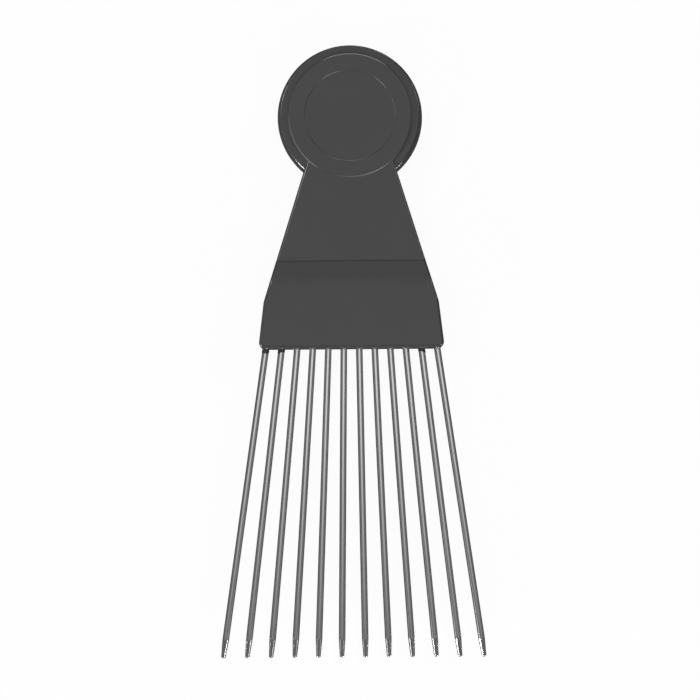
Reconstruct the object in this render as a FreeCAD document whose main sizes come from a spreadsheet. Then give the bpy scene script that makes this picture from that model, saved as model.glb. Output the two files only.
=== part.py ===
# Afro pick: one moulded handle and a fan of straight steel pins. Millimetres.
#
# The pick lies on its back. X runs across it, Y runs from the pin tips to the round end, and Z runs
# up through its thickness. The origin is under the middle of the whole length, on the surface that
# the pick lies on. The handle's two faces are alike, and its sides taper both ways from a parting
# line at half its thickness, which is also the plane that the pins lie in.
import FreeCAD, Part
import math
import os
import Sketcher

# The driving sizes: name, value and what it measures.
SIZES = [
    ("overall_length", 169.4, "pin tips to the top of the round end"),
    ("handle_length", 84.2, "edge that the pins leave, to the top of the round end"),
    ("draft_angle", 4.5, "taper of the plate's and the block's sides, degrees"),
    ("edge_radius", 0.8, "rounding of the plate's and the block's edges"),
    # the round end
    ("disc_diameter", 40.0, "round end, at the parting line"),
    ("rim_width", 3.0, "lower rim, outside the raised middle"),
    ("rim_drop", 0.6, "rim's face below the plate's face"),
    ("rim_taper", 16.0, "taper of the rim's outer wall, degrees"),
    ("rim_radius", 0.8, "rounding of the rim's outer edge"),
    ("plateau_rise", 0.16, "raised middle's face above the plate's face"),
    ("bevel_width", 0.24, "bevel round the raised middle, down to the height of the plate's face"),
    ("border_width", 4.5, "raised ring that is left round the dish"),
    ("dish_depth", 0.1, "shallow dish in the raised middle"),
    ("dish_slope", 0.15, "dish's sloping edge, across"),
    ("lip_radius", 0.05, "rounding of the bevel's and the dish's upper edges"),
    # the flared plate
    ("plate_thickness", 6.0, "plate between the round end and the pin block"),
    ("neck_width", 26.0, "plate where it meets the round end's outline"),
    ("facet_width", 4.0, "slight fall of the plate's face beside its long edges, across"),
    ("facet_drop", 0.1, "the same fall, down"),
    # the pin block
    ("foot_margin", 2.1, "outermost pin's middle to the block's corner, both at the pin edge"),
    ("foot_radius", 2.0, "rounding of the corners beside the pins"),
    ("shoulder_inset", 1.6, "bends in the sides, inwards from the block's corners"),
    ("shoulder_height", 13.2, "bends over the pin edge"),
    ("shoulder_radius", 6.0, "rounding of the bends"),
    ("block_thickness", 10.0, "block that holds the pins"),
    ("crease_height", 24.3, "line where the plate ends and the ramp to the block begins"),
    ("ramp_length", 5.6, "ramp, along the handle"),
    ("ramp_radius", 7.0, "rounding where the ramp runs out on the block"),
    # the pins
    ("pin_count", 12, "pins in the fan"),
    ("pin_diameter", 1.85, "wire"),
    ("pin_pitch", 4.29, "middle to middle, where the pins leave the handle"),
    ("fan_step", 1.505, "turn from one pin to the next, degrees"),
    ("pin_grip", 12.0, "outermost pins' length inside the handle"),
    ("taper_length", 5.2, "ground taper at the free end"),
    ("tip_diameter", 1.2, "free end"),
    ("tip_radius", 0.35, "rounding of the free end"),
    ("groove_diameter", 1.35, "bottom of the rolled groove that keys the pin in the plastic"),
    ("groove_length", 1.6, "the groove, along the pin"),
    ("groove_setback", 2.4, "the groove from the pin's inner end"),
    ("seat_gap", 0.02, "between a pin and its socket, all round"),
]

# What follows from them, for more than one piece. Heights are over the edge that the pins leave.
PIN_EDGE_Y = "(Sizes.overall_length / 2 - Sizes.handle_length)"
PIN_REACH = "(Sizes.overall_length - Sizes.handle_length)"
PLATE_HALF = "(Sizes.plate_thickness / 2)"
BLOCK_HALF = "(Sizes.block_thickness / 2)"
DISC_HALF = "(Sizes.disc_diameter / 2)"
DISC_HEIGHT = "(Sizes.handle_length - %s)" % DISC_HALF
PLATEAU_HALF = "(%s - Sizes.rim_width)" % DISC_HALF
NECK_HEIGHT = "(%s - sqrt(%s ^ 2 - (Sizes.neck_width / 2) ^ 2))" % (DISC_HEIGHT, DISC_HALF)
PLATE_TOP = "(%s - %s / 2)" % (DISC_HEIGHT, PLATEAU_HALF)
APEX_HEIGHT = "(Sizes.pin_pitch / tan(Sizes.fan_step * 1 deg))"
OUTER_TURN = "(Sizes.fan_step * (Sizes.pin_count - 1) / 2 * 1 deg)"
FOOT_HALF = "(%s * tan(%s) + Sizes.foot_margin)" % (APEX_HEIGHT, OUTER_TURN)
SHOULDER_HALF = "(%s - Sizes.shoulder_inset)" % FOOT_HALF
PIN_LENGTH = "(%s / cos(%s) + Sizes.pin_grip)" % (PIN_REACH, OUTER_TURN)

CUT_MARGIN = 5.0
NEARLY = 1e-6


def add_sheet(doc):
    """Write the driving sizes into the document's spreadsheet."""
    sheet = doc.addObject("Spreadsheet::Sheet", "Sizes")
    for row, (name, value, meaning) in enumerate(SIZES, start=1):
        sheet.set("A%d" % row, name)
        sheet.set("B%d" % row, str(value))
        sheet.set("C%d" % row, meaning)
        sheet.setAlias("B%d" % row, name)
    doc.recompute()
    return sheet


# Bodies and sketches


def add_body(doc, name, height="0"):
    """A body whose own origin stands on the pick's middle line, at a height over the pin edge."""
    body = doc.addObject("PartDesign::Body", name)
    body.Label = name
    body.setExpression("Placement.Base.y", "%s + %s" % (PIN_EDGE_Y, height))
    body.setExpression("Placement.Base.z", BLOCK_HALF)
    return body


def origin_plane(body, role):
    """One of the body's own origin planes."""
    return next(item for item in body.Origin.OriginFeatures if item.Role == role)


def add_sketch(body, name, role):
    """A sketch on one of the body's own origin planes."""
    sketch = body.newObject("Sketcher::SketchObject", name)
    sketch.AttachmentSupport = [(origin_plane(body, role), "")]
    sketch.MapMode = "FlatFace"
    sketch.Visibility = False
    return sketch


def bind(sketch, kind, items, value, expression):
    """Add a measured constraint and tie it to the sheet."""
    index = sketch.addConstraint(Sketcher.Constraint(kind, *items, value))
    sketch.setExpression("Constraints[%d]" % index, expression)


def hold_corner(sketch, point, place, corner):
    """Fix a corner of an outline at its place from the sketch's origin."""
    origin, x_axis, y_axis = (-1, 1), -1, -2
    if corner[0] == "0":
        sketch.addConstraint(Sketcher.Constraint("PointOnObject", point, 1, y_axis))
    else:
        bind(sketch, "DistanceX", (*origin, point, 1), place.x, corner[0])
    if corner[1] == "0":
        sketch.addConstraint(Sketcher.Constraint("PointOnObject", point, 1, x_axis))
    else:
        bind(sketch, "DistanceY", (*origin, point, 1), place.y, corner[1])


def rounding(before, corner, after, radius):
    """Start, middle and end of the arc that rounds a corner."""
    back = (before - corner).normalize()
    onward = (after - corner).normalize()
    half_angle = back.getAngle(onward) / 2
    setback = radius / math.tan(half_angle)
    inward = (back + onward).normalize()
    middle = corner + inward * (radius / math.sin(half_angle) - radius)
    return corner + back * setback, middle, corner + onward * setback


def join_corner(sketch, point, line_in, line_out):
    """Let two sides meet at a sharp corner."""
    sketch.addConstraint(Sketcher.Constraint("Coincident", line_in, 2, point, 1))
    sketch.addConstraint(Sketcher.Constraint("Coincident", line_out, 1, point, 1))


def round_corner(sketch, point, line_in, line_out, arc_points, radius):
    """Join two sides by an arc tangent to both, which aim at the corner's sharp place."""
    start, middle, end = arc_points
    arc = sketch.addGeometry(Part.Arc(start, middle, end), False)
    turns_left = (middle - start).cross(end - middle).z > 0
    first, last = (1, 2) if turns_left else (2, 1)
    sketch.addConstraint(Sketcher.Constraint("Tangent", line_in, 2, arc, first))
    sketch.addConstraint(Sketcher.Constraint("Tangent", line_out, 1, arc, last))
    sketch.addConstraint(Sketcher.Constraint("PointOnObject", point, 1, line_in))
    sketch.addConstraint(Sketcher.Constraint("PointOnObject", point, 1, line_out))
    bind(sketch, "Radius", (arc,), float(sketch.evalExpression(radius)), radius)


def trace(sketch, corners):
    """Draw a closed outline through corners given as (x, y), or (x, y, radius) for a rounded one.

    Every number is an expression on the sheet. Each corner's sharp place is a construction point.
    """
    count = len(corners)
    places = [FreeCAD.Vector(*(float(sketch.evalExpression(text)) for text in corner[:2]), 0)
              for corner in corners]
    starts, ends, arcs = list(places), list(places), {}
    for i, corner in enumerate(corners):
        if len(corner) == 3:
            radius = float(sketch.evalExpression(corner[2]))
            arcs[i] = rounding(places[i - 1], places[i], places[(i + 1) % count], radius)
            ends[i], _, starts[i] = arcs[i]
    for i in range(count):
        sketch.addGeometry(Part.LineSegment(starts[i], ends[(i + 1) % count]), False)
    for i, corner in enumerate(corners):
        point = sketch.addGeometry(Part.Point(places[i]), True)
        hold_corner(sketch, point, places[i], corner)
        line_in, line_out = (i - 1) % count, i
        if i in arcs:
            round_corner(sketch, point, line_in, line_out, arcs[i], corner[2])
        else:
            join_corner(sketch, point, line_in, line_out)


def revolve(body, sketch, name):
    """Turn a sketch once round its own upright axis."""
    turned = body.newObject("PartDesign::Revolution", name)
    turned.Profile = sketch
    turned.ReferenceAxis = (sketch, ["V_Axis"])
    turned.Angle = 360
    return turned


# Faces and edges, found by where they are and how they face


def facing_up(face, point):
    """Whether a face looks along Z, up or down, at a point rather than sideways."""
    u, v = face.Surface.parameter(point)
    return abs(face.normalAt(u, v).z) > math.cos(math.radians(45))


def edges_where(shape, is_wanted):
    """Names of the edges that pass a test on whether their two faces look up, and their middle."""
    names = []
    for number, edge in enumerate(shape.Edges, start=1):
        middle = edge.valueAt((edge.FirstParameter + edge.LastParameter) / 2)
        ups = [facing_up(face, middle) for face in shape.ancestorsOfType(edge, Part.Face)]
        if is_wanted(ups, middle):
            names.append("Edge%d" % number)
    return names


def add_fillet(body, name, edges, radius):
    """Round edges of the body's last feature."""
    last = body.Tip
    fillet = body.newObject("PartDesign::Fillet", name)
    fillet.Base = (last, edges)
    fillet.setExpression("Radius", radius)
    body.Document.recompute()
    return fillet


# The round end


def add_disc(doc):
    """Round end: a rim, a raised round middle and a shallow dish in that, alike on both faces."""
    body = add_body(doc, "disc_blank", DISC_HEIGHT)
    sketch = add_sketch(body, "disc_section", "XZ_Plane")
    rim = "(%s - Sizes.rim_drop)" % PLATE_HALF
    top = "(%s + Sizes.plateau_rise)" % PLATE_HALF
    floor = "(%s - Sizes.dish_depth)" % top
    foot = "(%s - (%s - %s) * tan(Sizes.draft_angle * 1 deg))" % (PLATEAU_HALF, PLATE_HALF, rim)
    dish_half = "(%s - Sizes.border_width)" % PLATEAU_HALF
    front = [
        ("%s - %s * tan(Sizes.rim_taper * 1 deg)" % (DISC_HALF, rim), rim, "Sizes.rim_radius"),
        (PLATEAU_HALF, rim),
        (foot, PLATE_HALF),
        ("%s - Sizes.bevel_width" % foot, top, "Sizes.lip_radius"),
        (dish_half, top, "Sizes.lip_radius"),
        ("%s - Sizes.dish_slope" % dish_half, floor),
        ("0", floor),
    ]
    back = [(corner[0], "-" + corner[1], *corner[2:]) for corner in reversed(front)]
    trace(sketch, [(DISC_HALF, "0")] + front + back)
    revolve(body, sketch, "disc_turned")
    return body


# The flared plate and the pin block


def plate_outline(sketch):
    """Outline of the plate and the block together, from the pins up into the round end."""
    flare = "(%s - Sizes.neck_width / 2) / (%s - Sizes.shoulder_height)" % (SHOULDER_HALF, NECK_HEIGHT)
    top_half = "Sizes.neck_width / 2 - (%s - %s) * (%s)" % (PLATE_TOP, NECK_HEIGHT, flare)
    right = [
        (FOOT_HALF, "0", "Sizes.foot_radius"),
        (SHOULDER_HALF, "Sizes.shoulder_height", "Sizes.shoulder_radius"),
        ("(%s)" % top_half, PLATE_TOP),
    ]
    left = [("-" + corner[0], *corner[1:]) for corner in reversed(right)]
    trace(sketch, right + left)


def pad_half(body):
    """One half of the blank, from the parting line up to the block's face."""
    sketch = add_sketch(body, "plate_outline", "XY_Plane")
    plate_outline(sketch)
    pad = body.newObject("PartDesign::Pad", "half_pad")
    pad.Profile = sketch
    pad.setExpression("Length", BLOCK_HALF)
    body.Document.recompute()
    return pad


def draft_sides(body, pad):
    """Lean the sides in from the parting line, so that the mould's half can draw off."""
    sides = ["Face%d" % number for number, face in enumerate(pad.Shape.Faces, start=1)
             if not facing_up(face, face.CenterOfMass)]
    draft = body.newObject("PartDesign::Draft", "side_draft")
    draft.Base = (pad, sides)
    draft.NeutralPlane = (origin_plane(body, "XY_Plane"), [""])
    draft.setExpression("Angle", "Sizes.draft_angle")


def cut_relief(body):
    """Thin the half to the plate's thickness above the crease, with a ramp up to the block."""
    sketch = add_sketch(body, "relief_section", "YZ_Plane")
    above = "(%s + %s)" % (BLOCK_HALF, CUT_MARGIN)
    lean = "Sizes.ramp_length / (%s - %s)" % (BLOCK_HALF, PLATE_HALF)
    trace(sketch, [
        ("Sizes.crease_height", PLATE_HALF),
        ("Sizes.handle_length", PLATE_HALF),
        ("Sizes.handle_length", above),
        ("(Sizes.crease_height - (%s - %s) * %s)" % (above, PLATE_HALF, lean), above),
    ])
    relief = body.newObject("PartDesign::Pocket", "plate_relief")
    relief.Profile = sketch
    relief.Type = "ThroughAll"
    relief.SideType = "Symmetric"
    body.Document.recompute()
    return relief


def add_facets(body, relief):
    """Let the plate's face fall away a little beside its two long edges."""
    face_height = body.evalExpression(PLATE_HALF)

    def is_long_edge(ups, middle):
        return len(set(ups)) == 2 and abs(middle.z - face_height) < NEARLY < abs(middle.x)

    facets = body.newObject("PartDesign::Chamfer", "side_facets")
    facets.Base = (relief, edges_where(relief.Shape, is_long_edge))
    facets.ChamferType = "Two distances"
    facets.setExpression("Size", "Sizes.facet_drop")
    facets.setExpression("Size2", "Sizes.facet_width")
    body.Document.recompute()
    return facets


def round_ramp(body, facets):
    """Let the ramp run out on the block's face in a soft curve."""
    face_height = body.evalExpression(BLOCK_HALF)

    def is_ramp_end(ups, middle):
        return all(ups) and abs(middle.z - face_height) < NEARLY

    return add_fillet(body, "ramp_rounding", edges_where(facets.Shape, is_ramp_end), "Sizes.ramp_radius")


def round_edges(body, ramped):
    """Round the face's outline, but not its end, which is buried in the round end."""
    buried = body.evalExpression(PLATE_TOP) - body.evalExpression("Sizes.edge_radius")

    def is_outline(ups, middle):
        return len(set(ups)) == 2 and middle.z > NEARLY and middle.y < buried

    return add_fillet(body, "edge_rounding", edges_where(ramped.Shape, is_outline), "Sizes.edge_radius")


def add_plate(doc):
    """Flared plate and pin block in one blank, made as one half and mirrored to the other."""
    body = add_body(doc, "plate_blank")
    pad = pad_half(body)
    draft_sides(body, pad)
    relief = cut_relief(body)
    facets = add_facets(body, relief)
    ramped = round_ramp(body, facets)
    round_edges(body, ramped)
    both = body.newObject("PartDesign::Mirrored", "both_halves")
    both.TransformMode = "Whole shape"
    both.MirrorPlane = (origin_plane(body, "XY_Plane"), [""])
    body.Tip = both
    return body


# The pins


def wire_section(sketch, clearance):
    """Half the section of a pin, from the ground tip to the inner end, grown by a clearance."""
    wire = "(Sizes.pin_diameter / 2 + %s)" % clearance
    tip = "(Sizes.tip_diameter / 2 + %s)" % clearance
    groove = "(Sizes.groove_diameter / 2 + %s)" % clearance
    flank = "(%s - %s)" % (wire, groove)
    groove_top = "(%s - Sizes.groove_setback)" % PIN_LENGTH
    groove_foot = "(%s - Sizes.groove_length)" % groove_top
    end = "(%s + %s)" % (PIN_LENGTH, clearance)
    trace(sketch, [
        ("0", "0"),
        (tip, "0", "Sizes.tip_radius"),
        (wire, "Sizes.taper_length"),
        (wire, "(%s - %s)" % (groove_foot, flank)),
        (groove, groove_foot),
        (groove, groove_top),
        (wire, "(%s + %s)" % (groove_top, flank)),
        (wire, end),
        ("0", end),
    ])


def add_wire(doc, name, number, clearance="0"):
    """A pin of the fan by its number from the left, or with a clearance the room it needs."""
    body = add_body(doc, name, "-" + PIN_REACH)
    sketch = add_sketch(body, name + "_section", "XY_Plane")
    wire_section(sketch, clearance)
    revolve(body, sketch, name + "_turned")
    turn = "(Sizes.fan_step * (%d - (Sizes.pin_count + 1) / 2) * 1 deg)" % number
    body.setExpression("Placement.Base.x", "(%s + %s) * tan(%s)" % (APEX_HEIGHT, PIN_REACH, turn))
    body.setExpression("Placement.Rotation.Angle", turn)
    return body


# The handle


def add_handle(doc, disc, plate, rooms):
    """The round end and the plate as one moulding, closed round the pins."""
    blank = doc.addObject("Part::MultiFuse", "handle_blank")
    blank.Shapes = [disc, plate]
    sockets = doc.addObject("Part::MultiFuse", "sockets")
    sockets.Shapes = rooms
    handle = doc.addObject("Part::Cut", "handle")
    handle.Label = "handle"
    handle.Base = blank
    handle.Tool = sockets
    return handle


# Checks and files


def check(doc, pieces):
    """Stop if a feature failed, a sketch is loose or a piece isn't one sound solid."""
    for item in doc.Objects:
        if "Invalid" in item.State or "Error" in item.State:
            raise RuntimeError("%s failed to build" % item.Label)
        if item.TypeId == "Sketcher::SketchObject" and not item.FullyConstrained:
            raise RuntimeError("%s isn't held by its constraints" % item.Label)
    for piece in pieces:
        shape = piece.Shape
        if shape.isNull() or not shape.isValid() or len(shape.Solids) != 1:
            raise RuntimeError("%s isn't one sound solid" % piece.Label)
        print("%-8s %10.2f mm3" % (piece.Label, shape.Volume))


def export(pieces):
    """Write each piece to a file of its own name."""
    os.makedirs("parts", exist_ok=True)
    for piece in pieces:
        piece.Shape.exportStep("parts/%s.step" % piece.Label)


def main():
    doc = FreeCAD.newDocument("afro_pick")
    sheet = add_sheet(doc)
    disc = add_disc(doc)
    plate = add_plate(doc)
    numbers = range(1, int(sheet.pin_count) + 1)
    pins = [add_wire(doc, "pin_%02d" % number, number) for number in numbers]
    rooms = [add_wire(doc, "room_%02d" % number, number, "Sizes.seat_gap") for number in numbers]
    handle = add_handle(doc, disc, plate, rooms)
    doc.recompute()
    pieces = [handle] + pins
    check(doc, pieces)
    export(pieces)


main()
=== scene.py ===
# %% [markdown]
# # An afro pick on white paper
#
# The pick is two things in one: a dark plastic handle that was moulded in a single shot, and
# twelve straight steel wires that stand in it like a fan. Their shapes come finished from the
# CAD model, to a hundredth of a millimetre. Blender's work here is three thin skins of flash
# and everything that light does: the satin of the moulding, the drawn lines on the wires, the
# ground tips, the paper and the lamps.
#
# All lengths are in metres. The pick lies on its back: X runs across it, Y runs from the tips
# of the pins towards the round end, and Z points up at the camera.

# %% The frame and the pick's own size
import math
import bmesh
import bpy
from mathutils import Matrix, Vector


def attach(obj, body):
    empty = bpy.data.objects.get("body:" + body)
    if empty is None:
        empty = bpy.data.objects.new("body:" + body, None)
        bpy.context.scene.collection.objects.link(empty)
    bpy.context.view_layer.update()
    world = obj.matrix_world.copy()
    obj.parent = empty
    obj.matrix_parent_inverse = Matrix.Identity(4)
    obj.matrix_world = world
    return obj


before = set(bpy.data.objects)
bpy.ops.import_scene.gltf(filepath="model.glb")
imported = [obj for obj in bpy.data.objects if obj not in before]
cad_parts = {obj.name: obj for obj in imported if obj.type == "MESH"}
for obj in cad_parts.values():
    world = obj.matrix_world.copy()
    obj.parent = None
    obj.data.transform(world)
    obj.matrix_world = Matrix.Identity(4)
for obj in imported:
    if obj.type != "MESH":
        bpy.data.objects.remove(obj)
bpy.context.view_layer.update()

pins = sorted(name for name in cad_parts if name.startswith("pin_"))
print("pieces: handle and", len(pins), "pins")

# %% [markdown]
# ## Where things are on the pick
#
# A pattern that follows the pins needs to know how they fan out. Every pin points at one spot
# above the handle, the apex of the fan, so a place on any pin is best given by its distance
# from that spot and its angle about it. The other measures say where the pins leave the handle
# and where their ground ends begin.

# %% Measures of the fan
PIN_EDGE_Y = 0.0005
TIP_Y = -0.0847
FAN_APEX_Y = 0.16378
MIDDLE_Z = 0.005
CREASE_Y = 0.0248
PIN_RADIUS = 0.000925
PIN_STEP = math.radians(1.505)
TAPER_LENGTH = 0.0052

print("pins show over", round((PIN_EDGE_Y - TIP_Y) * 1000, 1), "mm")

# %% [markdown]
# ## Writing shader maths as Python
#
# A pattern in a material is a sum of small steps, and wiring a node for each step by hand is
# slow and hard to read. Here a socket is wrapped in a class whose arithmetic adds the Math
# nodes, so that a mask can be written as a line of Python. Every other node comes from one
# method, which sets the node's own options first and then its sockets.

# %% A material that is written as arithmetic
BUMP_DISTANCE = 0.000004


class Value:
    """A socket that carries a number. Arithmetic on it adds a Math node."""

    def __init__(self, finish, socket):
        self.finish = finish
        self.socket = socket

    def maths(self, operation, *others, clamp=False):
        settings = {"operation": operation, "use_clamp": clamp}
        return self.finish.node("ShaderNodeMath", settings, dict(enumerate((self, *others))))

    def __add__(self, other):
        return self.maths("ADD", other)

    def __radd__(self, other):
        return self.maths("ADD", other)

    def __sub__(self, other):
        return self.maths("SUBTRACT", other)

    def __rsub__(self, other):
        return (self * -1) + other

    def __mul__(self, other):
        return self.maths("MULTIPLY", other)

    def __rmul__(self, other):
        return self.maths("MULTIPLY", other)

    def step(self, low, high):
        """0 below low, 1 above high and straight in between; low may be the larger one."""
        return (self - low).maths("DIVIDE", high - low, clamp=True)


class Finish:
    """One material and the method that adds its nodes."""

    def __init__(self, name):
        self.material = bpy.data.materials.new(name)
        self.material.use_nodes = True
        self.tree = self.material.node_tree
        self.tree.nodes.clear()

    def node(self, kind, settings, inputs, output=0):
        """Add a node: its options first, then the values or links of its sockets."""
        node = self.tree.nodes.new(kind)
        for name, value in settings.items():
            setattr(node, name, value)
        for name, value in inputs.items():
            if isinstance(value, Value):
                self.tree.links.new(value.socket, node.inputs[name])
            else:
                node.inputs[name].default_value = value
        return Value(self, node.outputs[output]) if len(node.outputs) else None

    def place(self):
        """The place on the pick as three numbers, and the same as one vector."""
        here = self.node("ShaderNodeTexCoord", {}, {}, "Object")
        parts = [self.node("ShaderNodeSeparateXYZ", {}, {"Vector": here}, axis) for axis in "XYZ"]
        return here, parts

    def vector(self, x, y, z):
        """Three numbers as one vector."""
        return self.node("ShaderNodeCombineXYZ", {}, {"X": x, "Y": y, "Z": z})

    def noise(self, where, scale, detail):
        """Soft random numbers from 0 to 1, about 0.5 on average."""
        inputs = {"Vector": where, "Scale": scale, "Detail": detail, "Roughness": 0.5}
        return self.node("ShaderNodeTexNoise", {}, inputs, "Fac")

    def mix(self, amount, first, second):
        """A colour between two colours, each of them written out or a socket."""
        factor, colour_a, colour_b, result = 0, 6, 7, 2
        first, second = (c if isinstance(c, Value) else (*c, 1.0) for c in (first, second))
        inputs = {factor: amount, colour_a: first, colour_b: second}
        return self.node("ShaderNodeMix", {"data_type": "RGBA"}, inputs, result)

    def bump(self, height):
        """The normal of a surface that rises by the height times a few thousandths of a mm."""
        inputs = {"Height": height, "Distance": BUMP_DISTANCE, "Strength": 1.0}
        return self.node("ShaderNodeBump", {}, inputs)

    def surface(self, sockets):
        """Close the material with one Principled shader, given its sockets by their names."""
        shader = self.node("ShaderNodeBsdfPrincipled", {}, sockets)
        self.node("ShaderNodeOutputMaterial", {}, {"Surface": shader})
        return self.material


# %% [markdown]
# ## The plastic
#
# The handle is a glossy-to-satin dark grey plastic. The photograph shows it very even: only its
# edges shine. Two quiet things keep such a face from looking like paint. The polish of the
# mould isn't the same all over, so the gloss drifts a little from place to place, and packing
# and handling leave hairline marks that run every way. Where the plate turns up into the ramp,
# the moulding has a thin crease. The shade that falls in it is painted into the colour as a
# near-black line over that edge of the CAD model, and the line is made dull as well.

# %% The handle's plastic
PLASTIC_IOR = 1.50
PLASTIC_DARKER = (0.0275, 0.0269, 0.0272)
PLASTIC_LIGHTER = (0.0311, 0.0304, 0.0307)
PLASTIC_ROUGHNESS = 0.20
DRIFT_PER_METRE = 90
GRAIN_PER_METRE = 2600
HAIRS_DOWN = 400
HAIR_CUT_A = (0.72, 0.80)
HAIR_CUT_B = (0.73, 0.81)
CREASE_PAINTED_SHADE = (0.001, 0.001, 0.001)
CREASE_EDGES = (0.00015, 0.00008)
PLATE_SKIN = (0.0028, 0.0029)


def make_plastic():
    finish = Finish("satin_plastic")
    here, (x, y, z) = finish.place()
    drift = finish.noise(here, DRIFT_PER_METRE, detail=3)
    grain = finish.noise(here, GRAIN_PER_METRE, detail=1)

    # Two sets of hairlines, each of them fine across its own direction and long along it.
    across_a, along_a = x * 2600 + y * 900, y * 60 - x * 20
    across_b, along_b = y * 2400 - x * 1300, x * 50 + y * 30
    hair_a = finish.noise(finish.vector(across_a, along_a, z * HAIRS_DOWN), 1, detail=1)
    hair_b = finish.noise(finish.vector(across_b, along_b, z * HAIRS_DOWN), 1, detail=1)
    hairs = hair_a.step(*HAIR_CUT_A) + hair_b.step(*HAIR_CUT_B)

    # The crease lies on the plate's front and back, and not down its sides.
    crease = (y - CREASE_Y).maths("ABSOLUTE").step(*CREASE_EDGES)
    crease = crease * (z - MIDDLE_Z).maths("ABSOLUTE").step(*PLATE_SKIN)

    colour = finish.mix(drift, PLASTIC_DARKER, PLASTIC_LIGHTER)
    # Painted shade: the crease is laid into the colour as a near-black line.
    colour = finish.mix(crease, colour, CREASE_PAINTED_SHADE)
    roughness = PLASTIC_ROUGHNESS + (drift - 0.5) * 0.08 + (grain - 0.5) * 0.03
    roughness = roughness + hairs * 0.05 + crease * 0.3
    height = grain * 0.15 + drift * 0.5 - hairs * 0.10
    return finish.surface({
        "Base Color": colour,
        "IOR": PLASTIC_IOR,
        "Roughness": roughness,
        "Normal": finish.bump(height),
    })


plastic = make_plastic()
print("made", plastic.name)

# %% [markdown]
# ## The steel
#
# The pins are bright drawn wire. Drawing leaves fine lines that run the whole length of a wire,
# so the pattern is a noise that is squeezed across the wire and stretched along it. Measuring
# it from the fan's apex lets one material lie true on all of the turned pins. The last few
# millimetres are ground to a blunt taper, which leaves a coarser and duller skin.

# %% The pins' steel
STEEL_DARKER = (0.60, 0.60, 0.61)
STEEL_LIGHTER = (0.74, 0.74, 0.74)
GROUND_COLOUR = (0.42, 0.42, 0.42)
STEEL_ROUGHNESS = 0.17
FAN_REACH = 0.2
LINES_ACROSS, LINES_ALONG = 14000, 30
PATCHES_ACROSS, PATCHES_ALONG = 1500, 160
GRINDING_EDGE = 0.0003


def make_steel():
    finish = Finish("drawn_steel")
    here, (x, y, z) = finish.place()
    down = FAN_APEX_Y - y
    angle = x.maths("ARCTAN2", down)
    along = (x * x + down * down).maths("SQRT")
    across = angle * FAN_REACH

    # Both noises are fine across a wire and long along it.
    line_place = finish.vector(across * LINES_ACROSS, along * LINES_ALONG, z * LINES_ACROSS)
    patch_place = finish.vector(across * PATCHES_ACROSS, along * PATCHES_ALONG, z * PATCHES_ACROSS)
    lines = finish.noise(line_place, 1, detail=2)
    patches = finish.noise(patch_place, 1, detail=2)

    taper_y = TIP_Y + TAPER_LENGTH
    ground = y.step(taper_y + GRINDING_EDGE, taper_y - GRINDING_EDGE)
    colour = finish.mix(lines, STEEL_DARKER, STEEL_LIGHTER)
    colour = finish.mix(ground * 0.7, colour, GROUND_COLOUR)
    roughness = STEEL_ROUGHNESS + (lines - 0.5) * 0.06 + (patches - 0.5) * 0.10 + ground * 0.03
    height = lines * (1.0 + ground * 0.5)
    return finish.surface({
        "Base Color": colour,
        "Metallic": 1.0,
        "Roughness": roughness,
        "Normal": finish.bump(height),
    })


steel = make_steel()
print("made", steel.name)

# %% [markdown]
# ## Giving the pieces their materials
#
# The CAD pieces stay exactly where they are. Only the material in their slot is exchanged.

# %% Materials onto the CAD pieces
def dress(node, material):
    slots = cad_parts[node].material_slots
    for slot in slots:
        slot.material = material
    return len(slots)


print("handle slots", dress("handle", plastic))
print("pin slots", sum(dress(pin, steel) for pin in pins))

# %% [markdown]
# ## Flash at three of the pins
#
# Where the halves of the mould close round a wire, plastic can creep a little way along it and
# set as a thin ragged skin. The photograph shows one at the two leftmost pins and one, drawn to
# a point, at the last pin but one. It could be drawn as a stain in the steel's material, but it
# stands proud of the wire and catches its own shade, so it is made as a piece: a ring round the
# wire is extruded along it, its far edge is pulled into a tongue, and the wall is given its
# thickness.

# %% Three skins of plastic
FLASH_START = 0.0008
FLASH_WALL = 0.00007
FLASH_COLLAR = 0.00088
FLASH_SIDES = 32
RAGGED_WAVES = ((0.00006, 7), (0.00004, 12))


def flash_place(pin):
    """The frame of one pin where its skin starts: right, up to the camera and down the wire."""
    turn = PIN_STEP * (pin - (len(pins) + 1) / 2)
    down = Vector((math.sin(turn), -math.cos(turn), 0.0))
    up = Vector((0.0, 0.0, 1.0))
    place = Matrix((up.cross(down), up, down)).transposed().to_4x4()
    place.translation = (math.tan(turn) * (FAN_APEX_Y - FLASH_START), FLASH_START, MIDDLE_Z)
    return place


def add_flash(pin, side, reach, sharpness):
    """A skin on one pin. Its tongue lies at side: degrees from the right towards the camera."""
    shape = bmesh.new()
    bmesh.ops.create_circle(shape, segments=FLASH_SIDES, radius=PIN_RADIUS)
    skin = bmesh.ops.extrude_edge_only(shape, edges=shape.edges[:])["geom"]
    (wide, wide_count), (fine, fine_count) = RAGGED_WAVES
    for corner in (v for v in skin if isinstance(v, bmesh.types.BMVert)):
        around = math.atan2(corner.co.y, corner.co.x) - math.radians(side)
        tongue = ((1 + math.cos(around)) / 2) ** sharpness
        ragged = wide * math.sin(wide_count * around + pin) + fine * math.sin(fine_count * around)
        corner.co.z = FLASH_COLLAR + reach * tongue + ragged
    bmesh.ops.recalc_face_normals(shape, faces=shape.faces[:])
    bmesh.ops.solidify(shape, geom=shape.faces[:], thickness=-FLASH_WALL)
    bmesh.ops.recalc_face_normals(shape, faces=shape.faces[:])
    bmesh.ops.transform(shape, matrix=flash_place(pin), verts=shape.verts[:])
    volume = shape.calc_volume(signed=True)

    name = "flash_%02d" % pin
    mesh = bpy.data.meshes.new(name)
    shape.to_mesh(mesh)
    shape.free()
    piece = bpy.data.objects.new(name, mesh)
    bpy.context.scene.collection.objects.link(piece)
    mesh.materials.append(plastic)
    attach(piece, "root")
    lowest = min(v.co.y for v in mesh.vertices) * 1e3
    print("%s reaches y %.2f mm, volume %.3f mm3" % (name, lowest, volume * 1e9))


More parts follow.
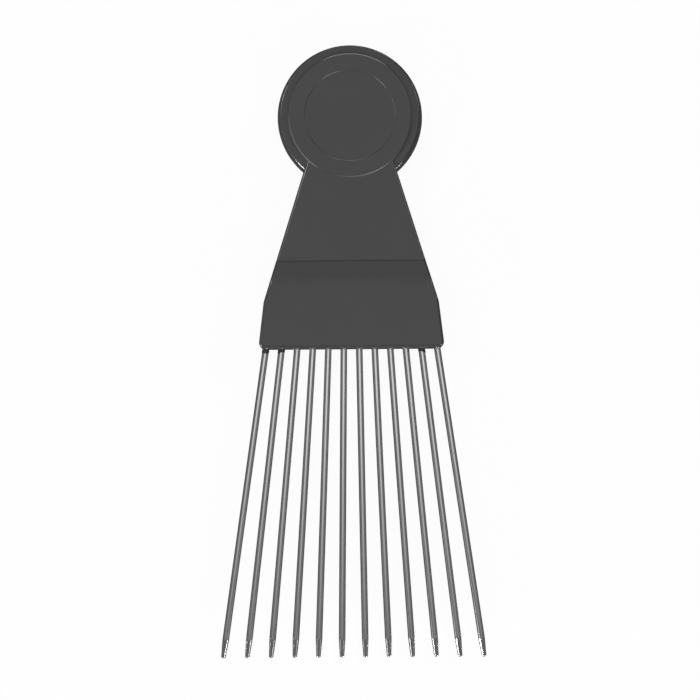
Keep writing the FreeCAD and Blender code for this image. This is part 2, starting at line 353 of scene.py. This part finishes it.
add_flash(1, side=95, reach=0.00040, sharpness=0.8)
add_flash(2, side=165, reach=0.00055, sharpness=2.5)
add_flash(11, side=20, reach=0.00080, sharpness=5)

# %% [markdown]
# ## The paper
#
# The photograph's ground is a bright white that shows no edge. The floor is a wide sheet of
# pale paper. For the camera most of its brightness is a plain white glow, so that it stays
# white without more light on the pick, and the rest is real paper that takes the pick's soft
# shadow. Metal and glass see the glow too, but dimly: the flanks of the wires lean towards the
# ground, and in the photograph they are dark, so the ground that they mirror there was far from
# white.

# %% The paper and the room
PAPER_COLOUR = (0.86, 0.86, 0.86, 1.0)
PAPER_SIZE = 6.0
GLOW_SHARE = 0.95
METAL_SEES = 0.09
ROOM_LEVEL = 0.17
WHITE = (1.0, 1.0, 1.0)


def make_paper():
    finish = Finish("white_paper")
    seen, glossy, through = (
        finish.node("ShaderNodeLightPath", {}, {}, name)
        for name in ("Is Camera Ray", "Is Glossy Ray", "Is Transmission Ray")
    )
    mirrored = glossy + through
    share = (seen * GLOW_SHARE + mirrored).maths("ADD", 0, clamp=True)
    strength = seen + mirrored * METAL_SEES
    paper = finish.node("ShaderNodeBsdfDiffuse", {}, {"Color": PAPER_COLOUR})
    glow = finish.node("ShaderNodeEmission", {}, {"Color": (*WHITE, 1.0), "Strength": strength})
    both = finish.node("ShaderNodeMixShader", {}, {0: share, 1: paper, 2: glow})
    finish.node("ShaderNodeOutputMaterial", {}, {"Surface": both})
    return finish.material


def make_floor():
    mesh = bpy.data.meshes.new("paper")
    shape = bmesh.new()
    bmesh.ops.create_grid(shape, x_segments=1, y_segments=1, size=PAPER_SIZE / 2)
    shape.to_mesh(mesh)
    shape.free()
    floor = bpy.data.objects.new("paper", mesh)
    bpy.context.scene.collection.objects.link(floor)
    mesh.materials.append(make_paper())
    return floor


print("paper", tuple(make_floor().dimensions))


class Room(Finish):
    """The world's tree, which is written like a material's."""

    def __init__(self, world):
        self.tree = world.node_tree
        self.tree.nodes.clear()


def light_room():
    world = bpy.data.worlds.new("room")
    world.use_nodes = True
    bpy.context.scene.world = world
    room = Room(world)
    seen = room.node("ShaderNodeLightPath", {}, {}, "Is Camera Ray")
    colour = room.mix(seen, (ROOM_LEVEL,) * 3, WHITE)
    background = room.node("ShaderNodeBackground", {}, {"Color": colour, "Strength": 1.0})
    room.node("ShaderNodeOutputWorld", {}, {"Surface": background})


light_room()

# %% [markdown]
# ## The lamps
#
# Glossy things show their lamps, so each lamp here was placed by what it draws. A wide soft box
# hangs over the pick and reaches far towards the round end: the flat faces, the ramp and the
# middle of each wire mirror it. Four narrow strips carry it on towards the tips, each dimmer
# than the last, and so the bright stripe down a wire fades as it does in the photograph. Small
# bright boxes stand far off at the four corners and draw the lines of light on the rim and the
# plate's edges. The two in front stand low, because from there a wire can't mirror them and
# only the rim, the corners and the ground tips do. Dim panels light the small slopes round the
# raised middle and the dish. Three of the boxes would draw a line on the wires too, where the
# photograph has none. A photographer keeps such a lamp off a part with a flag, a black card;
# here light linking lets them reach the handle alone.
#
# A box is given by its bearing on the picture, its lean from straight up and the angles that it
# fills as seen from the pick. Its share of the light on a flat face is printed. Together with
# the room they come to 1.3, so a colour renders somewhat lighter than it is written.

# %% Soft boxes
NEAR, HALFWAY, FAR = 1.2, 2.5, 8.0


def add_box(name, bearing, lean, spread, rise, brightness, distance, lights=None):
    """A rectangular lamp that faces the pick. All angles are in degrees."""
    turn, tilt = math.radians(bearing), math.radians(lean)
    outwards = math.sin(tilt)
    towards = Vector((outwards * math.cos(turn), outwards * math.sin(turn), math.cos(tilt)))
    width = 2 * distance * math.tan(math.radians(spread) / 2)
    height = 2 * distance * math.tan(math.radians(rise) / 2)
    lamp = bpy.data.lights.new(name, "AREA")
    lamp.shape = "RECTANGLE"
    lamp.size = width
    lamp.size_y = height
    lamp.energy = brightness * math.pi * width * height
    box = bpy.data.objects.new(name, lamp)
    box.rotation_euler = towards.to_track_quat("Z", "Y").to_euler()
    box.location = Vector((0, 0, MIDDLE_Z)) + towards * distance
    box.visible_camera = False
    box.light_linking.receiver_collection = lights
    bpy.context.scene.collection.objects.link(box)
    share = brightness * width * height * math.cos(tilt) / distance ** 2 / math.pi
    print("%-12s share of the light %.3f" % (name, share))
    return share


handle_alone = bpy.data.collections.new("handle_alone")
handle_alone.objects.link(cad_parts["handle"])

# Each row: name, bearing, lean, spread, rise, brightness, distance, and what alone it lights.
shares = [
    add_box("over", 90, 29, 60, 56, 0.65, NEAR),
    add_box("fade_0", 270, 1, 60, 4, 0.92, NEAR),
    add_box("fade_1", 270, 5.5, 60, 5, 0.58, NEAR),
    add_box("fade_2", 270, 10.5, 60, 5, 0.38, NEAR),
    add_box("fade_3", 270, 15.5, 60, 5, 0.25, NEAR),
    add_box("left_back", 146, 51, 16, 6, 26, FAR),
    add_box("left_front", 215.5, 75, 8, 7, 100, FAR),
    add_box("right_front", 320, 75, 8, 7, 90, FAR),
    add_box("right_back", 31, 60, 20, 8, 8, FAR),
    add_box("low_back", 86, 81, 46, 7, 5.5, HALFWAY),
    add_box("low_front", 284, 60, 56, 7, 3.7, HALFWAY),
    add_box("dish_left", 216, 57, 19, 6, 7, HALFWAY, handle_alone),
    add_box("dish_right", 303, 54, 23, 6, 7, HALFWAY),
    add_box("low_left", 188, 66, 40, 8, 3.5, HALFWAY, handle_alone),
    add_box("rim_left", 220, 76, 5, 7, 110, FAR, handle_alone),
]
print("all lamps %.2f and the room %.2f" % (sum(shares), ROOM_LEVEL))

# %% [markdown]
# ## The camera
#
# The photograph was taken from straight above, and the raised middle of the round end sits a
# little off its outline's centre, which only happens when a lens is near. That shift gives the
# camera's distance, and the pick's width in the picture then gives the lens. The pick lies a
# little turned in the picture, so the camera is turned the other way.

# %% Camera
FRAME_WIDTH = 0.19383
LENS_MM = 56.0
SENSOR_MM = 36.0
PICTURE_CENTRE = (-0.00043, 0.000334)
TURN_DEGREES = 0.42


def add_camera():
    data = bpy.data.cameras.new("camera")
    data.lens = LENS_MM
    data.sensor_width = SENSOR_MM
    camera = bpy.data.objects.new("camera", data)
    height = FRAME_WIDTH * LENS_MM / SENSOR_MM
    camera.location = (*PICTURE_CENTRE, MIDDLE_Z + height)
    camera.rotation_euler = (0, 0, math.radians(-TURN_DEGREES))
    bpy.context.scene.collection.objects.link(camera)
    bpy.context.scene.camera = camera
    return height


print("camera %.3f m over the middle of the pick" % add_camera())
bpy.context.scene.view_settings.view_transform = "Standard"
